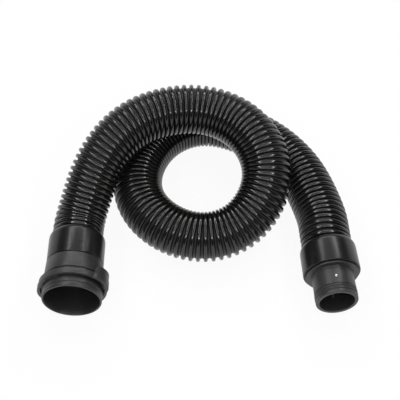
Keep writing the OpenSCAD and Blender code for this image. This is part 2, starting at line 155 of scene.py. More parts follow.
def route_at(distance):
    """Place, heading, sideways, upward and bend at a distance along the hose."""
    distance = min(max(distance, 0.0), hose_length)
    k = min(bisect_right(travelled, distance) - 1, len(travelled) - 2)
    f = (distance - travelled[k]) / (travelled[k + 1] - travelled[k])
    place, heading, bend = (a.lerp(b, f) for a, b in zip(route_table[k], route_table[k + 1]))
    heading.normalize()
    side = heading.cross(Vector((0, 0, 1))).normalized()
    return place, heading, side, side.cross(heading), bend


tightest = 1 / max(bend.length for _, _, bend in route_table)
print("hose length in mm:", round(hose_length / MM, 1), "tightest bend:", round(tightest / MM, 1))

# %% [markdown]
# ## The ribbed wall
#
# The real hose is wound: a soft strip is welded edge to edge round a mandrel over a stiff round
# cord, so the ribs form one long screw thread and not a stack of rings. A Screw modifier or an
# array along a curve could repeat one rib, but neither keeps a rib's width where the hose bends.
# Here the grid is made directly. Its rows follow the thread, ten to a rib, so after each turn a
# row joins the row ten further on. On the inside of a bend the soft valleys close up until the
# cords nearly touch, and on the outside they open, while the cords keep their own width. A soft
# hose also never lies evenly: some lengths of it are pulled out a little, so the pitch is given
# at a few distances along the hose and blended between them.

# %% Space the ribs
RIB_PITCHES = [  # distance along the hose and pitch there, both in mm
    (0, 5.45), (60, 5.10), (120, 5.26), (150, 5.58), (195, 5.76), (240, 5.42), (270, 5.03),
    (308, 4.80), (345, 5.30), (362, 5.50), (390, 5.25), (420, 5.08), (450, 5.28), (480, 5.50),
    (515, 4.90), (550, 5.30), (605, 5.15), (650, 5.50), (690, 5.44), (722, 5.18), (765, 5.55),
    (830, 5.60),
]
FINE_STEP = 0.25 * MM
PAST_THE_END = 12 * MM  # the last ribs start on the hose and end beyond it


def pitch_at(distance):
    for (first, a), (last, b) in zip(RIB_PITCHES, RIB_PITCHES[1:]):
        if distance / MM <= last:
            return (a + (b - a) * (distance / MM - first) / (last - first)) * MM
    return RIB_PITCHES[-1][1] * MM


ribs_passed = [0.0]
while len(ribs_passed) * FINE_STEP < hose_length + PAST_THE_END:
    middle = (len(ribs_passed) - 0.5) * FINE_STEP
    ribs_passed.append(ribs_passed[-1] + FINE_STEP / pitch_at(middle))


def distance_of(rib):
    """Distance along the hose at which the thread has made this many turns."""
    if rib <= 0:
        return rib * RIB_PITCHES[0][1] * MM
    k = min(bisect_right(ribs_passed, rib) - 1, len(ribs_passed) - 2)
    return (k + (rib - ribs_passed[k]) / (ribs_passed[k + 1] - ribs_passed[k])) * FINE_STEP


def ribs_at(distance):
    """Turns that the thread has made at a distance along the hose."""
    return ribs_passed[min(max(round(distance / FINE_STEP), 0), len(ribs_passed) - 1)]


rib_count = math.ceil(ribs_at(hose_length))
print("ribs:", rib_count, "mean pitch in mm:", round(hose_length / rib_count / MM, 2))

# %% Shape of one rib
CORD_HALF_WIDTH = 1.92 * MM
CORD_SHARE = 0.465  # where ribs crowd, a cord's half width is at most this share of the pitch
LEAST_STRETCH = 0.3
VALLEY_RADIUS = 19.5 * MM
SIDES = 48
# Where each row stands, in half widths of the cord from its top, and how high it is there
RIB_ROWS = [(-1.0, 0.18), (-0.95, 0.60), (-0.78, 0.86), (-0.42, 0.975), (0.0, 1.0),
            (0.42, 0.975), (0.78, 0.86), (0.95, 0.60), (1.0, 0.18)]
rows_per_rib = len(RIB_ROWS) + 1
print("rows of corners:", rib_count * rows_per_rib)

# %% Grid of the outer wall


def hose_angle(j):
    """Angle of corner j of a ring, counted from the underside."""
    return 2 * math.pi * j / SIDES - math.pi / 2


def wall_point(distance, angle, radius):
    place, _, side, up, _ = route_at(distance)
    return place + radius * (math.cos(angle) * side + math.sin(angle) * up)


def rib_row(turn, row, j):
    """Distance along the hose, and height from 0 to 1, of one corner of the thread."""
    start = turn + j / SIDES
    if row == 0:
        return distance_of(start), 0.0
    top = distance_of(start + 0.5)
    offset, height = RIB_ROWS[row - 1]
    _, _, side, up, bend = route_at(top)
    angle = hose_angle(j)
    outward = math.cos(angle) * side + math.sin(angle) * up
    stretch = max(1 - HOSE_RADIUS * outward.dot(bend), LEAST_STRETCH)
    half_width = min(CORD_HALF_WIDTH, CORD_SHARE * pitch_at(top) * stretch)
    return top + offset * half_width / stretch, height


points, heights, rib_places = [], [], []
for turn in range(-1, rib_count + 1):
    for row in range(rows_per_rib):
        for j in range(SIDES):
            distance, height = rib_row(turn, row, j)
            if not 0 < distance < hose_length:
                distance, height = min(max(distance, 0.0), hose_length), 0.0
            radius = VALLEY_RADIUS + height * (HOSE_RADIUS - VALLEY_RADIUS)
            points.append(wall_point(distance, hose_angle(j), radius))
            heights.append(height)
            rib_places.append(ribs_at(distance))
outer_rows = len(points) // SIDES
print("corners of the ribbed wall:", len(points))

# %% [markdown]
# The hose is hollow: a smooth inner tube and a flat ring at each end close it into one shell with
# a real wall. The faces are listed corner by corner, and each also gets a place on a flat map,
# with U once round the hose and V in ribs along it, so that a material can run along the thread.

# %% Close the hose into a shell
BORE_RADIUS = 19.0 * MM
BORE_RINGS = 150

faces, face_map = [], []
for i in range(outer_rows - 1):
    for j in range(SIDES):
        wrap = rows_per_rib if j == SIDES - 1 else 0
        k = (j + 1) % SIDES
        if i + 1 + wrap >= outer_rows:
            continue
        corners = [i * SIDES + j, (i + 1) * SIDES + j,
                   (i + 1 + wrap) * SIDES + k, (i + wrap) * SIDES + k]
        faces.append(corners)
        near, far = j / SIDES, (j + 1) / SIDES
        face_map.append([(side, rib_places[corner])
                         for side, corner in zip((near, near, far, far), corners)])

first_bore = len(points)
for i in range(BORE_RINGS + 1):
    distance = hose_length * i / BORE_RINGS
    for j in range(SIDES):
        points.append(wall_point(distance, hose_angle(j), BORE_RADIUS))
        heights.append(0.0)
        rib_places.append(ribs_at(distance))
for i in range(BORE_RINGS):
    for j in range(SIDES):
        a, b = first_bore + i * SIDES, first_bore + (i + 1) * SIDES
        k = (j + 1) % SIDES
        faces.append([a + j, a + k, b + k, b + j])
        face_map.append([(j / SIDES, rib_places[a]), ((j + 1) / SIDES, rib_places[a]),
                         ((j + 1) / SIDES, rib_places[b]), (j / SIDES, rib_places[b])])
last_outer, last_bore = (outer_rows - 1) * SIDES, first_bore + BORE_RINGS * SIDES
for j in range(SIDES):
    k = (j + 1) % SIDES
    faces.append([j, k, first_bore + k, first_bore + j])
    faces.append([last_outer + j, last_bore + j, last_bore + k, last_outer + k])
    face_map += [[(j / SIDES, 0.0), ((j + 1) / SIDES, 0.0)] * 2] * 2

hose_mesh = bpy.data.meshes.new("ribbed_hose")
hose_mesh.from_pydata([tuple(p) for p in points], [], faces)
height_layer = hose_mesh.attributes.new("rib_height", "FLOAT", "POINT")
height_layer.data.foreach_set("value", heights)
flat_map = hose_mesh.uv_layers.new(name="wall_map")
flat_map.data.foreach_set("uv", [c for face in face_map for corner in face for c in corner])

# %% [markdown]
# At each end the thread is cut off square, which leaves many corners in one place. Merging them
# and dropping the faces that shrank to nothing leaves a clean closed shell.

WELD_DISTANCE = 0.02 * MM
SHRUNK_EDGE = 0.01 * MM
PATH_STEPS = 160

work = bmesh.new()
work.from_mesh(hose_mesh)
bmesh.ops.remove_doubles(work, verts=work.verts, dist=WELD_DISTANCE)
bmesh.ops.dissolve_degenerate(work, edges=work.edges, dist=SHRUNK_EDGE)
open_edges = sum(1 for edge in work.edges if len(edge.link_faces) != 2)
volume = work.calc_volume(signed=True)
work.to_mesh(hose_mesh)
work.free()
hose_mesh.polygons.foreach_set("use_smooth", [True] * len(hose_mesh.polygons))
hose = bpy.data.objects.new("ribbed_hose", hose_mesh)
bpy.context.scene.collection.objects.link(hose)
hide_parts("hose")
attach(hose, "hose_body")
path = [tuple(route_at(hose_length * k / PATH_STEPS)[0]) for k in range(PATH_STEPS + 1)]
print("open edges:", open_edges, "wall volume in cm3:", round(volume * 1e6, 1))

# %% [markdown]
# ## Turned pieces
#
# Cuffs, coupling, spigot and seal are all round a common axis, as if turned on a lathe. A Screw or
# Spin of a drawn outline would do, but here a circle is extruded from station to station and
# resized at each one, as by hand: each loop's radius and station can be read off the list. The
# last station comes back to the first, so the shell closes when the doubled loop is merged.
# Then a Bevel modifier takes the sharpness off every edge, because no moulded edge is a knife
# edge, and the thin light line that a soft edge catches is half of what makes plastic look real.

# %% Helper: turn a piece round its axis
TURN_SIDES = 144
SAME_CORNER = 0.004 * MM
SHARP_ANGLE = math.radians(32)  # sharper edges than this are bevelled
SMOOTH_ANGLE = math.radians(40)
BEVEL_SEGMENTS = 3


def stations_on_arc(centre, radius, first, last, steps):
    """Radius and station pairs along an arc of the outline. Angles in degrees."""
    turns = [math.radians(first + (last - first) * k / steps) for k in range(steps + 1)]
    return [(centre[0] + radius * math.cos(a), centre[1] + radius * math.sin(a)) for a in turns]


def soften(piece, width):
    """Bevel the sharp edges by width, in millimetres, and shade the rest smooth."""
    bevel = piece.modifiers.new("softened_edges", "BEVEL")
    bevel.limit_method = "ANGLE"
    bevel.angle_limit = SHARP_ANGLE
    bevel.width = width * MM
    bevel.segments = BEVEL_SEGMENTS
    bpy.ops.object.modifier_apply(modifier=bevel.name)
    bpy.ops.object.shade_smooth_by_angle(angle=SMOOTH_ANGLE)


def turned(name, stations, edge, sides=TURN_SIDES, closed=True):
    """A piece turned round Z through (radius, station) pairs, with its edges bevelled by edge.

    All of these are in millimetres.
    """
    bpy.ops.object.select_all(action="DESELECT")
    radius, station = stations[0]
    bpy.ops.mesh.primitive_circle_add(
        vertices=sides, radius=radius * MM, location=(0, 0, station * MM))
    piece = bpy.context.object
    piece.name = piece.data.name = name
    bpy.ops.object.transform_apply(location=True, rotation=True, scale=True)
    bpy.ops.object.mode_set(mode="EDIT")
    bpy.ops.mesh.select_all(action="SELECT")
    loops = stations[1:] + stations[:1] if closed else stations[1:]
    for next_radius, next_station in loops:
        rise, factor = (next_station - station) * MM, next_radius / radius
        bpy.ops.mesh.extrude_edges_move(TRANSFORM_OT_translate={"value": (0, 0, rise)})
        bpy.ops.transform.resize(
            value=(factor, factor, 1), center_override=(0, 0, next_station * MM))
        radius, station = next_radius, next_station
    bpy.ops.mesh.select_all(action="SELECT")
    bpy.ops.mesh.remove_doubles(threshold=SAME_CORNER)
    bpy.ops.mesh.fill_holes(sides=0)
    bpy.ops.mesh.select_all(action="SELECT")
    bpy.ops.mesh.normals_make_consistent(inside=False)
    bpy.ops.object.mode_set(mode="OBJECT")
    soften(piece, edge)
    return piece

# %% [markdown]
# Each piece is drawn along its own Z axis, with station 0 where the hose enters the fitting, and
# then moved to its end of the hose. The place goes into the mesh, so that the object itself stays
# at the origin, unturned: a pattern that reads object coordinates then stays where it is.

# %% Helper: carry a piece to its end of the hose
TURN_UP = Matrix.Rotation(math.radians(90), 4, "X")
MACHINE_END = Matrix.Translation(MACHINE_ENTRY) @ TURN_UP
TOOL_END = Matrix.Translation(TOOL_ENTRY) @ Matrix.Rotation(TOOL_YAW, 4, "Z") @ TURN_UP


def settle(piece, end, node, body):
    """Move a finished piece to its end of the hose, and let it stand for its CAD node."""
    piece.matrix_world = end
    bpy.context.view_layer.update()
    piece.data.transform(piece.matrix_world)
    piece.matrix_world = Matrix.Identity(4)
    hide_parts(node)
    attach(piece, body)
    low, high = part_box(node)
    corners = [Vector(c) for c in piece.bound_box]
    own_low = Vector(map(min, *corners))
    own_high = Vector(map(max, *corners))
    off = max(max(abs(a) for a in own_low - low), max(abs(a) for a in own_high - high))
    print(piece.name, "faces:", len(piece.data.polygons),
          "off its node by mm:", round(off / MM, 2))

# %% [markdown]
# ## The swivel cuffs
#
# Each cuff grips the hose's end and holds the fitting in front of it, so that the fitting can
# turn. Outside it is a plain drum with a rounded shoulder at the back, where the hose goes in, and
# a soft front edge. Inside are the hose's socket, a web, the chamber for the swivel's flange and
# the groove for its clip. The two cuffs differ only in length and in the width of their fronts.

# %% Turn both cuffs
FRONT_ARC = 1.2  # in mm, like every number of an outline


def cuff_stations(length, front):
    """Outline of a cuff from its length and its radius at the front."""
    shoulder = [(23.2, 0.0), (23.85, 0.0), (24.5, 0.9), (25.05, 2.2), (25.38, 3.6), (25.5, 5.0)]
    front_edge = stations_on_arc((front - FRONT_ARC, length - FRONT_ARC), FRONT_ARC, 0, 90, 6)
    chamber = [(23.5, length), (23.5, 20.7), (24.4, 20.7), (24.4, 19.1), (23.5, 19.1),
               (23.5, 15.7), (20.0, 15.7), (20.0, 14.2), (23.2, 14.2)]
    return shoulder + front_edge + chamber


machine_cuff = turned("machine_swivel_cuff", cuff_stations(28.7, 25.5), edge=0.3)
settle(machine_cuff, MACHINE_END, "machine_cuff", "hose_body")
tool_cuff = turned("tool_swivel_cuff", cuff_stations(27.6, 25.9), edge=0.3)
settle(tool_cuff, TOOL_END, "tool_cuff", "hose_body")

# %% [markdown]
# ## The machine coupling
#
# The coupling pushes onto the machine's inlet. From back to front it has the swivel's tail, a
# collar that widens a little forward, a narrow neck, a bead, the seat that the lock ring turns on,
# and two bands with a groove between them. The mouth's rim is set in, and the socket inside is
# deep and straight, with a seal at its floor.

# %% Turn the machine coupling
coupling_stations = [
    (20.0, 16.9), (23.2, 16.9), (23.2, 18.9), (21.8, 18.9), (21.8, 32.7), (23.5, 32.7),
    (23.5, 29.5), (25.7, 29.5), (26.6, 44.6), (26.0, 45.2), (25.4, 45.2),
    (25.4, 47.8), (26.2, 47.8), (26.2, 48.5), (25.85, 48.5), (25.85, 55.1),
    (26.6, 55.1), (26.6, 60.4), (26.1, 60.4), (26.1, 60.9), (26.6, 60.9), (26.6, 64.5),
    (26.2, 65.2), (25.0, 65.2), (24.1, 61.2), (24.1, 37.2), (24.5, 37.2), (24.5, 35.2),
    (20.0, 35.2),
]
coupling = turned("machine_push_coupling", coupling_stations, edge=0.25)
settle(coupling, MACHINE_END, "machine_coupling", "coupling_body")

# %% [markdown]
# ## The lock ring
#
# The ring turns on the coupling's seat. It isn't round: a thumb tab stands out on one side and a
# matching lobe on the other, and two crescent pockets are sunk in its front, one of them with a
# row of stepped teeth. Such a shape is quicker to take from the CAD node than to model again. The
# node's own mesh is never touched, so a copy of it is merged into one skin and its flat faces are
# joined. The long outer edge at the front is then picked out by the way its two faces look, and
# rounded well off, as on a part that fingers turn. A fine bevel softens the other edges.

# %% Dress the lock ring
FRONT_EDGE_RADIUS = 29 * MM  # the long front edge lies further out than this
FRONT_ROUNDING = 1.0 * MM
ROUNDING_SEGMENTS = 5
ONE_SKIN = 0.002 * MM
FLAT_ANGLE = math.radians(1.0)
# How far a face may look along Y, and how far away from the axis, to bound the front edge
LOOKS_FORWARD, LOOKS_SIDEWAYS, LOOKS_OUT = -0.99, 0.1, 0.5

bpy.ops.object.select_all(action="DESELECT")
lock_ring = bpy.data.objects.new("thumb_lock_ring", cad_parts["lock_ring"].data.copy())
bpy.context.scene.collection.objects.link(lock_ring)
bpy.context.view_layer.objects.active = lock_ring
lock_ring.select_set(True)
bpy.ops.object.mode_set(mode="EDIT")
bpy.ops.mesh.select_all(action="SELECT")
bpy.ops.mesh.remove_doubles(threshold=ONE_SKIN)
bpy.ops.mesh.dissolve_limited(angle_limit=FLAT_ANGLE)
bpy.ops.mesh.select_all(action="DESELECT")
bpy.ops.mesh.select_mode(type="EDGE")
work = bmesh.from_edit_mesh(lock_ring.data)
for edge in work.edges:
    if len(edge.link_faces) == 2:
        middle = (edge.verts[0].co + edge.verts[1].co) / 2
        out = Vector((middle.x - MACHINE_ENTRY.x, 0, middle.z - MACHINE_ENTRY.z))
        forward, sideways = sorted(face.normal.y for face in edge.link_faces)
        outward = max(face.normal.dot(out.normalized()) for face in edge.link_faces)
        edge.select_set(
            forward < LOOKS_FORWARD and abs(sideways) < LOOKS_SIDEWAYS
            and outward > LOOKS_OUT and out.length > FRONT_EDGE_RADIUS)
print("front edges rounded:", sum(edge.select for edge in work.edges))
bmesh.update_edit_mesh(lock_ring.data)
bpy.ops.mesh.bevel(offset=FRONT_ROUNDING, segments=ROUNDING_SEGMENTS, affect="EDGES")
bpy.ops.object.mode_set(mode="OBJECT")
soften(lock_ring, 0.3)
lock_ring.data.materials.clear()
settle(lock_ring, Matrix.Identity(4), "lock_ring", "lock_ring_body")

# %% [markdown]
# ## The tool spigot
#
# The spigot takes the cleaning tool. A disc closes the front of the cuff, a short root band steps
# down to the neck, and a groove for the seal ends at a rounded bead. The inside narrows in a
# funnel. The snap button comes up through a hole in the neck: a cylinder cuts it with a Boolean
# modifier, which is the plain way to pierce one round form with another.

# %% Turn the spigot and pierce it
BUTTON_STATION = 40.9
BUTTON_HOLE = 1.58
BUTTON_SIDES = 48
DRILL_HEIGHT, DRILL_DEPTH = 18 * MM, 10 * MM

spigot_stations = [
    (20.0, 16.9), (23.2, 16.9), (23.2, 18.9), (21.8, 18.9), (21.8, 28.0), (23.9, 28.0),
    (23.9, 29.4), (23.5, 29.8), (19.4, 29.8), (19.4, 32.2), (18.75, 32.2), (19.05, 47.1),
    (18.75, 47.4), (16.9, 47.4), (16.9, 53.8), (18.75, 53.8), (19.05, 54.1),
]
spigot_stations += stations_on_arc((17.85, 55.6), 1.2, 0, 90, 6)
spigot_stations += stations_on_arc((16.5, 56.0), 0.8, 90, 180, 5)
spigot_stations += [(15.7, 34.67), (20.0, 24.67)]
spigot = turned("tool_spigot_tube", spigot_stations, edge=0.2)

bpy.ops.object.select_all(action="DESELECT")
bpy.ops.mesh.primitive_cylinder_add(
    vertices=BUTTON_SIDES, radius=BUTTON_HOLE * MM, depth=DRILL_DEPTH,
    location=(0, DRILL_HEIGHT, BUTTON_STATION * MM), rotation=(math.radians(90), 0, 0))
drill = bpy.context.object
bpy.ops.object.select_all(action="DESELECT")
bpy.context.view_layer.objects.active = spigot
spigot.select_set(True)
pierce = spigot.modifiers.new("button_hole", "BOOLEAN")
pierce.operation = "DIFFERENCE"
pierce.solver = "EXACT"
pierce.object = drill
bpy.ops.object.modifier_apply(modifier=pierce.name)
bpy.data.objects.remove(drill)
bpy.ops.object.shade_smooth_by_angle(angle=SMOOTH_ANGLE)
settle(spigot, TOOL_END, "tool_spigot", "spigot_body")

# %% [markdown]
# ## The spigot's seal
#
# A rubber band sits in the groove. Two round ribs on it stand just over the bead, and press into
# the tool's bore. The ribs are arcs of the outline, so the turned piece has real ribs.

# %% Turn the seal
SEAL_RIB_HALF_ARC = 68.7
seal_stations = [(16.95, 47.45), (18.55, 47.45)]
for rib_station in (49.15, 52.05):
    seal_stations += stations_on_arc(
        (18.15, rib_station), 1.1, -SEAL_RIB_HALF_ARC, SEAL_RIB_HALF_ARC, 8)
seal_stations += [(18.55, 53.75), (16.95, 53.75)]
spigot_seal = turned("ribbed_spigot_seal", seal_stations, edge=0.06)
settle(spigot_seal, TOOL_END, "spigot_seal", "spigot_body")

# %% [markdown]
# ## The snap button
#
# A domed steel pin with a wide foot, which the spring presses up from inside the bore. It is
# turned as the others are, but its outline starts and ends near the axis, so the two tiny end
# circles are filled instead of joined.

# %% Turn the button
button_stations = [(0.05, 14.645), (2.2, 14.645), (2.2, 15.445), (1.5, 15.445)]
button_stations += stations_on_arc((0, 19.35), 1.5, 0, 88, 8)
snap_button = turned(
    "snap_button_pin", button_stations, edge=0.12, sides=BUTTON_SIDES, closed=False)
BUTTON_END = (TOOL_END @ Matrix.Translation((0, 0, BUTTON_STATION * MM))
              @ Matrix.Rotation(math.radians(-90), 4, "X"))
settle(snap_button, BUTTON_END, "detent_button", "button_body")

# %% [markdown]
# ## Shared surface effects
#
# Several finishes need the same small effects: the fine grain of a mould, the faint lines that
# turning leaves round a part, edges that handling has rubbed lighter, and a little dust on what
# faces up. Each is a node group, built once, that puts out only a value that changes over the
# surface. The shader itself stays in each material, where its gloss can be set for that material.

# %% Helper: start a node group
NOISE_SPAN = (0.3, 0.7)  # where nearly all of a noise's values lie


def new_effect(name, inputs, outputs):
    """An empty shader node group with float inputs (a Vector first), and float outputs."""
    group = bpy.data.node_groups.new(name, "ShaderNodeTree")
    group.interface.new_socket("Vector", in_out="INPUT", socket_type="NodeSocketVector")
    for label, value in inputs:
        socket = group.interface.new_socket(label, in_out="INPUT", socket_type="NodeSocketFloat")
        socket.default_value = value
    for label in outputs:
        group.interface.new_socket(label, in_out="OUTPUT", socket_type="NodeSocketFloat")
    return group, group.nodes.new("NodeGroupInput"), group.nodes.new("NodeGroupOutput")


def add_noise(tree, scale, detail, roughness=0.5):
    noise = tree.nodes.new("ShaderNodeTexNoise")
    noise.inputs["Scale"].default_value = scale
    noise.inputs["Detail"].default_value = detail
    noise.inputs["Roughness"].default_value = roughness
    return noise


def add_range(tree, source, low, high, out_low=0.0, out_high=1.0):
    """Map source from low..high to out_low..out_high, held at both ends."""
    node = tree.nodes.new("ShaderNodeMapRange")
    tree.links.new(source, node.inputs["Value"])
    for label, value in (("From Min", low), ("From Max", high),
                         ("To Min", out_low), ("To Max", out_high)):
        node.inputs[label].default_value = value
    return node.outputs["Result"]


def add_math(tree, operation, first, second):
    """A sum on two values, each a number or a socket."""
    node = tree.nodes.new("ShaderNodeMath")
    node.operation = operation
    for socket, value in zip(node.inputs, (first, second)):
        if isinstance(value, (int, float)):
            socket.default_value = value
        else:
            tree.links.new(value, socket)
    return node.outputs["Value"]

# %% Effect: mould grain
GRAIN_SCALE, CLOUD_SCALE = 900.0, 60.0
grain_group, grain_in, grain_out = new_effect(
    "mould_grain", [("Scale", GRAIN_SCALE)], ["Height", "Cloud"])
fine = add_noise(grain_group, GRAIN_SCALE, 3.0, 0.6)
broad = add_noise(grain_group, CLOUD_SCALE, 2.0)
grain_group.links.new(grain_in.outputs["Vector"], fine.inputs["Vector"])
grain_group.links.new(grain_in.outputs["Scale"], fine.inputs["Scale"])
grain_group.links.new(grain_in.outputs["Vector"], broad.inputs["Vector"])
grain_group.links.new(add_range(grain_group, fine.outputs["Fac"], *NOISE_SPAN),
                      grain_out.inputs["Height"])
grain_group.links.new(add_range(grain_group, broad.outputs["Fac"], 0.35, 0.65),
                      grain_out.inputs["Cloud"])
print("effect:", grain_group.name)

# %% Effect: turning lines
ALONG_THE_LINES = 30.0  # how fast a line changes along itself, far slower than across
lines_group, lines_in, lines_out = new_effect("turning_lines", [("PerMetre", 2600.0)], ["Lines"])
split = lines_group.nodes.new("ShaderNodeSeparateXYZ")
join = lines_group.nodes.new("ShaderNodeCombineXYZ")
lines_noise = add_noise(lines_group, 1.0, 2.0, 0.7)
lines_group.links.new(lines_in.outputs["Vector"], split.inputs["Vector"])
for axis in ("X", "Z"):
    lines_group.links.new(
        add_math(lines_group, "MULTIPLY", split.outputs[axis], ALONG_THE_LINES),
        join.inputs[axis])
lines_group.links.new(
    add_math(lines_group, "MULTIPLY", split.outputs["Y"], lines_in.outputs["PerMetre"]),
    join.inputs["Y"])
lines_group.links.new(join.outputs["Vector"], lines_noise.inputs["Vector"])
lines_group.links.new(add_range(lines_group, lines_noise.outputs["Fac"], *NOISE_SPAN),
                      lines_out.inputs["Lines"])
print("effect:", lines_group.name)

# %% Effect: rubbed edges
rub_group, rub_in, rub_out = new_effect("rubbed_edges", [("Sharpness", 0.56)], ["Rub"])
form = rub_group.nodes.new("ShaderNodeNewGeometry")
rub_noise = add_noise(rub_group, 260.0, 4.0, 0.65)
rub_group.links.new(rub_in.outputs["Vector"], rub_noise.inputs["Vector"])
ridge = add_math(rub_group, "SUBTRACT", form.outputs["Pointiness"], rub_in.outputs["Sharpness"])
ridge = add_range(rub_group, ridge, -0.02, 0.06)
patchy = add_range(rub_group, rub_noise.outputs["Fac"], 0.35, 0.62)
rub_group.links.new(add_math(rub_group, "MULTIPLY", ridge, patchy), rub_out.inputs["Rub"])
print("effect:", rub_group.name)

# %% Effect: settled dust
DUST_FINENESS = 420.0
dust_group, dust_in, dust_out = new_effect(
    "settled_dust", [("Fineness", DUST_FINENESS)], ["Dust"])
facing = dust_group.nodes.new("ShaderNodeNewGeometry")
facing_split = dust_group.nodes.new("ShaderNodeSeparateXYZ")
dust_noise = add_noise(dust_group, DUST_FINENESS, 5.0, 0.7)
dust_group.links.new(dust_in.outputs["Vector"], dust_noise.inputs["Vector"])
dust_group.links.new(dust_in.outputs["Fineness"], dust_noise.inputs["Scale"])
dust_group.links.new(facing.outputs["Normal"], facing_split.inputs["Vector"])
upward = add_range(dust_group, facing_split.outputs["Z"], 0.1, 0.95)
specks = add_range(dust_group, dust_noise.outputs["Fac"], 0.42, 0.68)
dust_group.links.new(add_math(dust_group, "MULTIPLY", upward, specks), dust_out.inputs["Dust"])
print("effect:", dust_group.name)

# %% [markdown]
# ## Finishes
#
# A plastic here is one Principled shader. Its colour goes from the clean moulded colour to a
# lighter rubbed one along the edges and to a dusty one on top. Its roughness follows the broad
# cloudiness that any moulding has, and its bump is the fine grain, with turning lines on the
# parts that show them. Numbers that are the same all over, such as the specular level, are set
# on the shader's own sockets.

# %% Helper: build a plastic
CLOUD_CONTRAST = 0.12
RUBBED_GREY = 0.10
DUST_GREY, DUST_WARMTH = 0.32, 0.04
DUST_DULLNESS = 3  # added roughness of full dust, as a multiple of its share in the colour
LINES_PER_METRE = 800.0


def place_effect(tree, group, vector, **values):
    """Put one of the effects into a material and set its inputs."""
    node = tree.nodes.new("ShaderNodeGroup")
    node.node_tree = group
    tree.links.new(vector, node.inputs["Vector"])
    for label, value in values.items():
        node.inputs[label].default_value = value
    return node


def add_mix(tree, factor, first, second):
    """Blend two colours, each a triple or a socket, by a factor socket."""
    node = tree.nodes.new("ShaderNodeMix")
    node.data_type = "RGBA"
    tree.links.new(factor, node.inputs["Factor"])
    for socket, value in ((node.inputs[6], first), (node.inputs[7], second)):
        if isinstance(value, tuple):
            socket.default_value = (*value, 1.0)
        else:
            tree.links.new(value, socket)
    return node.outputs[2]


def grey(value, warmth=0.0):
    """A near-neutral colour; warmth moves it a little from blue towards yellow."""
    return (value * (1 + warmth), value, value * (1 - warmth))


def add_bump(tree, height, distance, normal=None):
    """A bump this many millimetres deep, on top of an earlier one if there is a normal."""
    bump = tree.nodes.new("ShaderNodeBump")
    bump.inputs["Distance"].default_value = distance * MM
    bump.inputs["Strength"].default_value = 1.0
    tree.links.new(height, bump.inputs["Height"])
    if normal is not None:
        tree.links.new(normal, bump.inputs["Normal"])
    return bump.outputs["Normal"]


def plastic(name, colour, rough, grain, rubbed=0.05, dusty=0.03, lines=0.0, yaw=0.0,
            specular=0.5):
    """Moulded plastic from its colour, roughness range, and grain's scale and depth in mm.

    rubbed and dusty are how much lighter rubbing and dust make it, lines is the depth of the
    turning lines in mm, and yaw is how far the lines' axis is turned away from Y.
    """
    material = bpy.data.materials.new(name)
    material.use_nodes = True
    tree = material.node_tree
    shader = tree.nodes["Principled BSDF"]
    shader.inputs["Specular IOR Level"].default_value = specular
    place = tree.nodes.new("ShaderNodeTexCoord")
    turn = tree.nodes.new("ShaderNodeMapping")
    turn.vector_type = "POINT"
    turn.inputs["Rotation"].default_value = (0, 0, -yaw)
    tree.links.new(place.outputs["Object"], turn.inputs["Vector"])
    vector = turn.outputs["Vector"]
    grain_scale, grain_depth = grain
    grain_node = place_effect(tree, grain_group, vector, Scale=grain_scale)
    rub_node = place_effect(tree, rub_group, vector)
    dust_node = place_effect(tree, dust_group, vector)
    clouded = add_mix(tree, grain_node.outputs["Cloud"],
                      tuple(c * (1 - CLOUD_CONTRAST) for c in colour),
                      tuple(c * (1 + CLOUD_CONTRAST) for c in colour))
    rub_share = add_math(tree, "MULTIPLY", rub_node.outputs["Rub"], rubbed / RUBBED_GREY)
    worn = add_mix(tree, rub_share, clouded, grey(RUBBED_GREY))
    dust_share = add_math(tree, "MULTIPLY", dust_node.outputs["Dust"], dusty)
    dusted = add_mix(tree, dust_share, worn, grey(DUST_GREY, DUST_WARMTH))
    tree.links.new(dusted, shader.inputs["Base Color"])
    cloudiness = add_range(tree, grain_node.outputs["Cloud"], 0.0, 1.0, *rough)
    dullness = add_math(tree, "MULTIPLY", dust_node.outputs["Dust"], DUST_DULLNESS * dusty)
    tree.links.new(add_math(tree, "ADD", cloudiness, dullness), shader.inputs["Roughness"])
    normal = add_bump(tree, grain_node.outputs["Height"], grain_depth)
    if lines:
        lines_node = place_effect(tree, lines_group, vector, PerMetre=LINES_PER_METRE)
        normal = add_bump(tree, lines_node.outputs["Lines"], lines, normal=normal)
    tree.links.new(normal, shader.inputs["Normal"])
    print("finish:", name)
    return material

# %% [markdown]
# ## The fittings' plastics
#
# The cuffs are the glossiest: smooth moulded black. The coupling and the lock ring are a shade
# lighter and satin, with fine lines round them. The spigot is satin too, with much fainter lines.

# %% Make the plastics
cuff_black = plastic("cuff_moulded_black", grey(0.006), (0.27, 0.29), (700.0, 0.003),
                     dusty=0.006, specular=0.40)
coupling_grey = plastic("coupling_satin_grey", grey(0.015), (0.38, 0.46), (1100.0, 0.016),
                        rubbed=0.08, dusty=0.010, lines=0.070, specular=0.6)
ring_grey = plastic("lock_ring_satin_grey", grey(0.018), (0.38, 0.46), (1100.0, 0.018),
                    rubbed=0.07, dusty=0.010, lines=0.070, specular=0.6)
spigot_grey = plastic("spigot_moulded_grey", grey(0.014), (0.40, 0.48), (1300.0, 0.020),
                      rubbed=0.08, dusty=0.010, lines=0.012, yaw=TOOL_YAW, specular=0.7)
bushing_grey = plastic("bushing_plastic_grey", grey(0.08), (0.5, 0.6), (900.0, 0.01))
seal_black = plastic("seal_rubber_black", grey(0.014, 0.06), (0.40, 0.55), (1500.0, 0.012),
                     rubbed=0.0, dusty=0.06)

# %% [markdown]
# ## The steels
#
# The snap button is polished and the spring and clips are bright spring steel. A metal takes its
# colour from its reflections, so it only needs a pale base, Metallic at 1 and fine scratches in
# its roughness.

# %% Make the steels
SCRATCHES_PER_METRE = 5200.0
STEEL_GRAIN, STEEL_GRAIN_DEPTH = 1600.0, 0.004


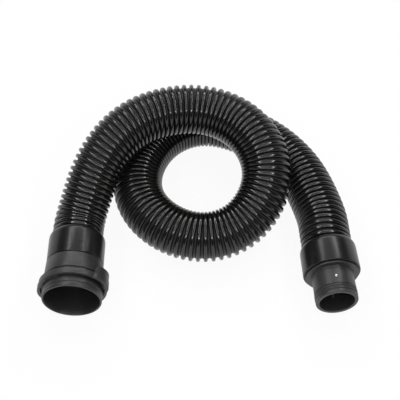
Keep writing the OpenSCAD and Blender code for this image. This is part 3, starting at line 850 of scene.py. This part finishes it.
def steel(name, colour, rough):
    """Bright metal from its colour and roughness range."""
    material = bpy.data.materials.new(name)
    material.use_nodes = True
    tree = material.node_tree
    shader = tree.nodes["Principled BSDF"]
    shader.inputs["Metallic"].default_value = 1.0
    place = tree.nodes.new("ShaderNodeTexCoord")
    vector = place.outputs["Object"]
    lines_node = place_effect(tree, lines_group, vector, PerMetre=SCRATCHES_PER_METRE)
    grain_node = place_effect(tree, grain_group, vector, Scale=STEEL_GRAIN)
    tree.links.new(add_range(tree, lines_node.outputs["Lines"], 0.0, 1.0, *rough),
                   shader.inputs["Roughness"])
    tree.links.new(
        add_mix(tree, grain_node.outputs["Cloud"], tuple(c * 0.9 for c in colour), colour),
        shader.inputs["Base Color"])
    tree.links.new(add_bump(tree, grain_node.outputs["Height"], STEEL_GRAIN_DEPTH),
                   shader.inputs["Normal"])
    print("finish:", name)
    return material


button_steel = steel("button_polished_steel", grey(0.80), (0.12, 0.22))
spring_steel = steel("spring_bright_steel", grey(0.75), (0.25, 0.40))

# %% [markdown]
# ## The hose's wall
#
# The hose reads two things of its own. The height attribute says how far up a rib a point lies:
# the cords' tops are glossy, the valleys are dull and hold more dust, and the colour has painted
# shade, darker down in the valleys and a little lighter on the tops.
# The flat map gives a direction along the thread, which the strip was drawn in, so a noise that is
# long that way and short across it makes the faint drawn lines of the soft plastic.

# %% Make the hose's plastic
DRAWN_ACROSS, DRAWN_ALONG = 8.5, 9.0  # changes of the drawn lines in one rib, and in one turn
VALLEY_ROUGHNESS, CREST_ROUGHNESS = 0.50, 0.12
DRAWN_ROUGHNESS = 0.05
VALLEY_DUST, CREST_DUST = 0.008, 0.003

hose_black = bpy.data.materials.new("hose_soft_black")
hose_black.use_nodes = True
hose_tree = hose_black.node_tree
hose_shader = hose_tree.nodes["Principled BSDF"]
hose_shader.inputs["Specular IOR Level"].default_value = 0.6

rib = hose_tree.nodes.new("ShaderNodeAttribute")
rib.attribute_name = "rib_height"
wall_map = hose_tree.nodes.new("ShaderNodeUVMap")
wall_map.uv_map = "wall_map"
hose_place = hose_tree.nodes.new("ShaderNodeTexCoord")

map_split = hose_tree.nodes.new("ShaderNodeSeparateXYZ")
hose_tree.links.new(wall_map.outputs["UV"], map_split.inputs["Vector"])
across = add_math(hose_tree, "SUBTRACT", map_split.outputs["Y"], map_split.outputs["X"])
thread = hose_tree.nodes.new("ShaderNodeCombineXYZ")
hose_tree.links.new(add_math(hose_tree, "MULTIPLY", across, DRAWN_ACROSS), thread.inputs["X"])
hose_tree.links.new(add_math(hose_tree, "MULTIPLY", map_split.outputs["X"], DRAWN_ALONG),
                    thread.inputs["Y"])
drawn = add_noise(hose_tree, 1.0, 3.0, 0.6)
hose_tree.links.new(thread.outputs["Vector"], drawn.inputs["Vector"])
drawn_lines = add_range(hose_tree, drawn.outputs["Fac"], *NOISE_SPAN)

hose_vector = hose_place.outputs["Object"]
hose_grain = place_effect(hose_tree, grain_group, hose_vector, Scale=700.0)
hose_dust = place_effect(hose_tree, dust_group, hose_vector, Fineness=300.0)
# Painted shade: the base colour is darker down in the valleys between the cords and lighter on
# their tops.
crest_vs_valley_shade = add_range(hose_tree, rib.outputs["Fac"], 0.15, 0.95)
wall_colour_painted_shade = add_mix(hose_tree, crest_vs_valley_shade, grey(0.003, 0.05), grey(0.005, 0.06))
cloudy = add_mix(hose_tree, add_math(hose_tree, "MULTIPLY", hose_grain.outputs["Cloud"], 0.35),
                 wall_colour_painted_shade, grey(0.010, 0.06))
dust_held = add_range(hose_tree, rib.outputs["Fac"], 0.0, 0.8, VALLEY_DUST, CREST_DUST)
hose_dust_share = add_math(hose_tree, "MULTIPLY", hose_dust.outputs["Dust"], dust_held)
hose_tree.links.new(add_mix(hose_tree, hose_dust_share, cloudy, grey(0.30, 0.05)),
                    hose_shader.inputs["Base Color"])
rib_roughness = add_range(
    hose_tree, rib.outputs["Fac"], 0.1, 0.8, VALLEY_ROUGHNESS, CREST_ROUGHNESS)
lines_roughness = add_math(hose_tree, "MULTIPLY", drawn_lines, DRAWN_ROUGHNESS)
hose_tree.links.new(add_math(hose_tree, "ADD", rib_roughness, lines_roughness),
                    hose_shader.inputs["Roughness"])
hose_normal = add_bump(hose_tree, hose_grain.outputs["Height"], 0.006)
hose_normal = add_bump(hose_tree, drawn_lines, 0.008, normal=hose_normal)
hose_tree.links.new(hose_normal, hose_shader.inputs["Normal"])
print("finish:", hose_black.name)

# %% [markdown]
# ## Putting the finishes on
#
# The small parts inside the fittings keep their CAD meshes, since little of them is seen through
# the mouths, and get a finish like everything else.

# %% Assign the finishes


def put_on(piece, material):
    """Give a piece this one material."""
    piece.data.materials.clear()
    piece.data.materials.append(material)


outer_finishes = (
    (hose, hose_black), (machine_cuff, cuff_black), (tool_cuff, cuff_black),
    (coupling, coupling_grey), (lock_ring, ring_grey), (spigot, spigot_grey),
    (spigot_seal, seal_black), (snap_button, button_steel),
)
for piece, material in outer_finishes:
    put_on(piece, material)
inner_finishes = {
    "machine_hose_bushing": bushing_grey, "tool_hose_bushing": bushing_grey,
    "machine_swivel_seal": seal_black, "tool_swivel_seal": seal_black,
    "socket_seal": seal_black, "machine_swivel_clip": spring_steel,
    "tool_swivel_clip": spring_steel, "detent_spring": spring_steel,
}
for node_name, material in inner_finishes.items():
    put_on(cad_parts[node_name], material)
print("finishes put on:", len(outer_finishes), "outer and", len(inner_finishes), "inner pieces")

# %% [markdown]
# ## Floor and surroundings
#
# A plain white floor. To the camera, and in reflections, most of it is plain white light, so its
# far parts meet the background without a line. The rest of it is an ordinary diffuse white, which
# keeps a faint shadow under the hose.

# %% Lay the floor
FLOOR_SIZE = 8.0
FLOOR_DROP = 0.4 * MM  # keeps it off the undersides that touch the ground
FLOOR_GLOW = 0.93
PAPER_WHITE = 0.86

bpy.ops.object.select_all(action="DESELECT")
bpy.ops.mesh.primitive_plane_add(size=FLOOR_SIZE, location=(0, 0, -FLOOR_DROP))
floor = bpy.context.object
floor.name = "studio_floor"

floor_white = bpy.data.materials.new("studio_floor_white")
floor_white.use_nodes = True
floor_tree = floor_white.node_tree
floor_tree.nodes.remove(floor_tree.nodes["Principled BSDF"])
paper = floor_tree.nodes.new("ShaderNodeBsdfDiffuse")
paper.inputs["Color"].default_value = (*grey(PAPER_WHITE), 1)
glow = floor_tree.nodes.new("ShaderNodeEmission")
glow.inputs["Strength"].default_value = 1.0
floor_rays = floor_tree.nodes.new("ShaderNodeLightPath")
floor_blend = floor_tree.nodes.new("ShaderNodeMixShader")
seen = floor_rays.outputs["Is Camera Ray"]
for ray in ("Is Glossy Ray", "Is Transmission Ray"):
    seen = add_math(floor_tree, "MAXIMUM", seen, floor_rays.outputs[ray])
floor_tree.links.new(add_math(floor_tree, "MULTIPLY", seen, FLOOR_GLOW), floor_blend.inputs["Fac"])
floor_tree.links.new(paper.outputs["BSDF"], floor_blend.inputs[1])
floor_tree.links.new(glow.outputs["Emission"], floor_blend.inputs[2])
floor_tree.links.new(floor_blend.outputs["Shader"],
                     floor_tree.nodes["Material Output"].inputs["Surface"])
put_on(floor, floor_white)
print("floor size in m:", tuple(round(d, 1) for d in floor.dimensions))

# %% [markdown]
# The room round the floor is white near the horizon and dim overhead. A black part mirrors what
# lies across from the eye: with a dim ceiling the tops of the ribs stay black between their
# highlights, while the outer flanks, which mirror the horizon, get a light edge.

# %% Light the room
HORIZON_LIGHT, CEILING_LIGHT = 1.0, 0.05
HORIZON_TOP, CEILING_START = math.sin(math.radians(9)), math.sin(math.radians(15))
world = bpy.data.worlds.new("white_room")
bpy.context.scene.world = world
world.use_nodes = True
world_tree = world.node_tree
background = world_tree.nodes["Background"]
background.inputs["Color"].default_value = (1, 1, 1, 1)
sky_place = world_tree.nodes.new("ShaderNodeTexCoord")
sky_split = world_tree.nodes.new("ShaderNodeSeparateXYZ")
world_tree.links.new(sky_place.outputs["Generated"], sky_split.inputs["Vector"])
world_tree.links.new(add_range(world_tree, sky_split.outputs["Z"], HORIZON_TOP, CEILING_START,
                               HORIZON_LIGHT, CEILING_LIGHT), background.inputs["Strength"])
print("horizon and ceiling strength:", HORIZON_LIGHT, CEILING_LIGHT)

# %% [markdown]
# ## Lamps
#
# A wide softbox hangs level over the hose, as in a product studio. A round black part mirrors it
# as one long band: sharp and broad along the tops of the cuffs, and squeezed to a thin line along
# the crest of every rib. All four of its rims are brighter than its middle, which edges the band
# on the cuffs and ends the lines on the ribs in a bright dash. Two small lamps close behind the
# hose put a second dash on each side of the loop.

# %% Hang the softboxes
LAMP_AIM = Vector((0.0, 0.05, 0.03))


def softbox(name, place, size, glow, aim=LAMP_AIM):
    """An area lamp of this size whose face is glow times as bright as white paper."""
    lamp_data = bpy.data.lights.new(name, "AREA")
    lamp_data.shape = "RECTANGLE"
    lamp_data.size, lamp_data.size_y = size
    lamp_data.energy = glow * math.pi * size[0] * size[1]
    lamp = bpy.data.objects.new(name, lamp_data)
    bpy.context.scene.collection.objects.link(lamp)
    lamp.location = place
    lamp.rotation_euler = (Vector(aim) - Vector(place)).to_track_quat("-Z", "Y").to_euler()
    lamp.visible_camera = False
    print(name, "watts:", round(lamp_data.energy, 2))


BOX_LEFT, BOX_RIGHT, BOX_FRONT, BOX_BACK, BOX_HEIGHT = -0.54, 0.54, -0.78, 1.20, 1.00
RIM_HEIGHT = BOX_HEIGHT - 0.01  # just under the panel
PANEL_GLOW, SMALL_GLOW = 0.65, 10
box_x, box_y = (BOX_LEFT + BOX_RIGHT) / 2, (BOX_FRONT + BOX_BACK) / 2
box_size = (BOX_RIGHT - BOX_LEFT, BOX_BACK - BOX_FRONT)
softbox("overhead_softbox", (box_x, box_y, BOX_HEIGHT), box_size, PANEL_GLOW, (box_x, box_y, 0))
# Each rim: its middle, its size, and how bright it is
RIMS = {
    "front_rim": ((box_x, BOX_FRONT), (box_size[0], 0.16), 9.0),
    "back_rim": ((box_x, BOX_BACK), (box_size[0], 0.20), 10.0),
    "left_rim": ((BOX_LEFT, box_y), (0.09, box_size[1]), 11.0),
    "right_rim": ((BOX_RIGHT, box_y), (0.09, box_size[1]), 11.0),
}
for rim_name, ((x, y), rim_size, glow) in RIMS.items():
    softbox(rim_name, (x, y, RIM_HEIGHT), rim_size, glow, (x, y, 0))
softbox("left_softbox", (-0.200, 0.302, 0.395), (0.05, 0.05), SMALL_GLOW)
softbox("right_softbox", (0.190, 0.235, 0.300), (0.04, 0.04), SMALL_GLOW)

# %% [markdown]
# ## Finish
#
# The view transform is Standard, so a colour renders as it is written.

# %% Finish
bpy.context.scene.view_settings.view_transform = "Standard"
